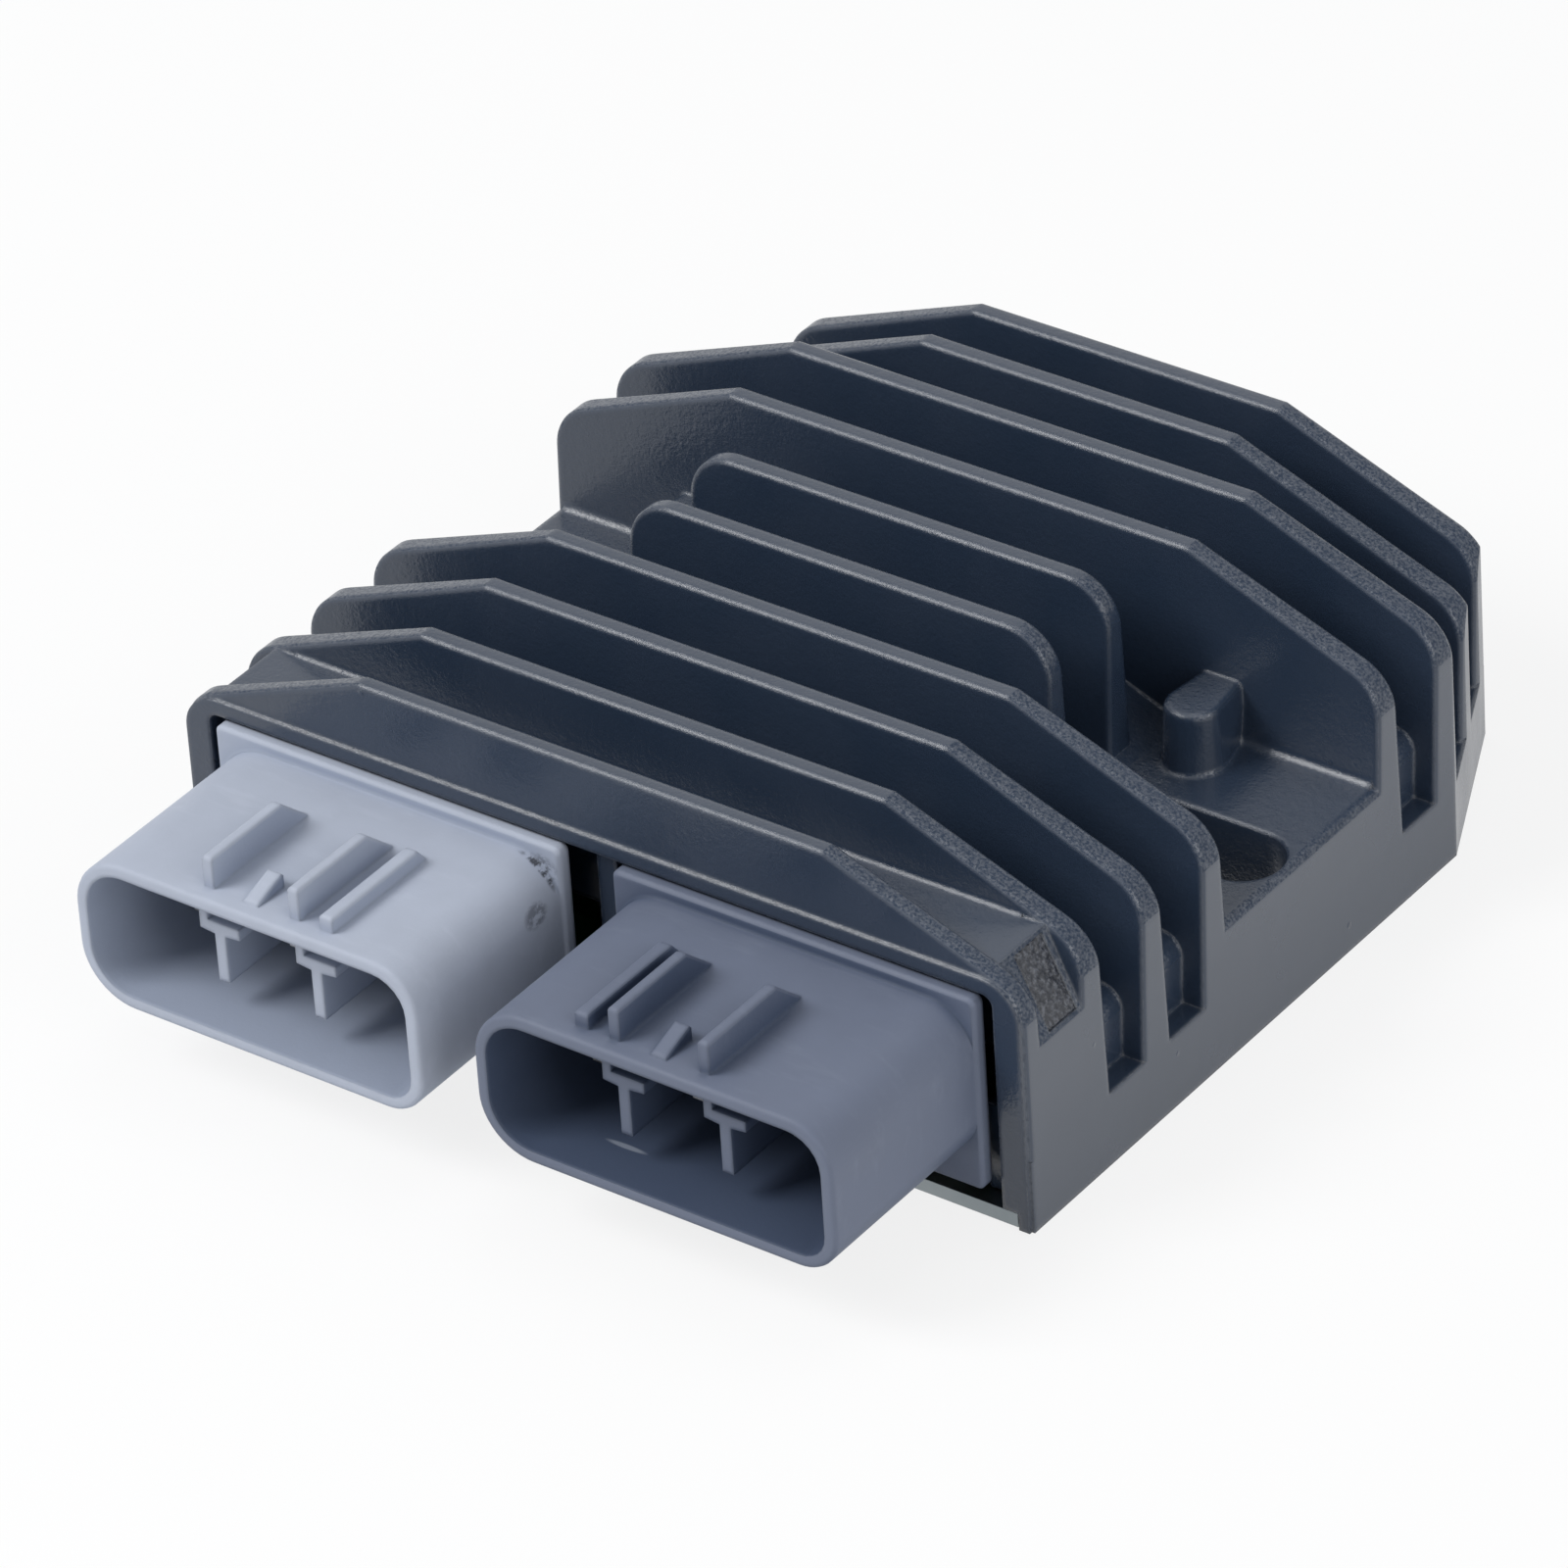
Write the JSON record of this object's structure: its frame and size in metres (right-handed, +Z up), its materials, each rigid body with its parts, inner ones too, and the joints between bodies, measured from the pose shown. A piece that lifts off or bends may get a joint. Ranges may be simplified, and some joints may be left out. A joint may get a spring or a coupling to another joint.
{
  "type": "voltage regulator rectifier",
  "caption": "Finned die-cast regulator rectifier with slotted mounting lugs and a light and a dark grey sealed socket side by side on its front.",
  "frame": {"origin": "centre of the whole footprint, on the plane of the bolted underside", "axes": "+X from the light socket to the dark socket, along the fins; +Y from the sockets to the rear; +Z up through the fins"},
  "size_m": [0.102, 0.12, 0.0365],
  "materials": {
    "black_casting": "semi-gloss black paint over a fine cast texture",
    "bare_sheet": "bare rolled sheet, dull",
    "light_plastic": "light blue-grey moulded plastic, matte",
    "dark_plastic": "dark slate grey moulded plastic, matte",
    "tinned": "tin-plated brass strip",
    "board_green": "green solder mask on glass-epoxy board",
    "chip_black": "black moulded package",
    "sheet_grey": "grey silicone sheet",
    "can_sleeve": "dark shrink sleeve over an aluminium can",
    "film_box": "red moulded box",
    "resin": "dark potting resin"
  },
  "bodies": {
    "root": {"heatsink_housing": "black_casting", "base_plate": "bare_sheet", "stator_connector": "light_plastic", "output_connector": "dark_plastic", "insulating_sheet": "sheet_grey", "circuit_board": "board_green", "control_chip": "chip_black", "can_capacitor_1": "can_sleeve", "can_capacitor_2": "can_sleeve", "film_capacitor_1": "film_box", "film_capacitor_2": "film_box", "film_capacitor_3": "film_box", "current_shunt": "tinned", "potting_layer": "resin", "stator_blade_1": "tinned", "output_blade_1": "tinned", "stator_blade_2": "tinned", "output_blade_2": "tinned", "stator_blade_3": "tinned", "output_blade_3": "tinned", "power_transistor_1": "chip_black", "power_transistor_2": "chip_black", "power_transistor_3": "chip_black", "power_transistor_4": "chip_black", "power_transistor_5": "chip_black", "power_transistor_6": "chip_black"}
  },
  "joints": []
}
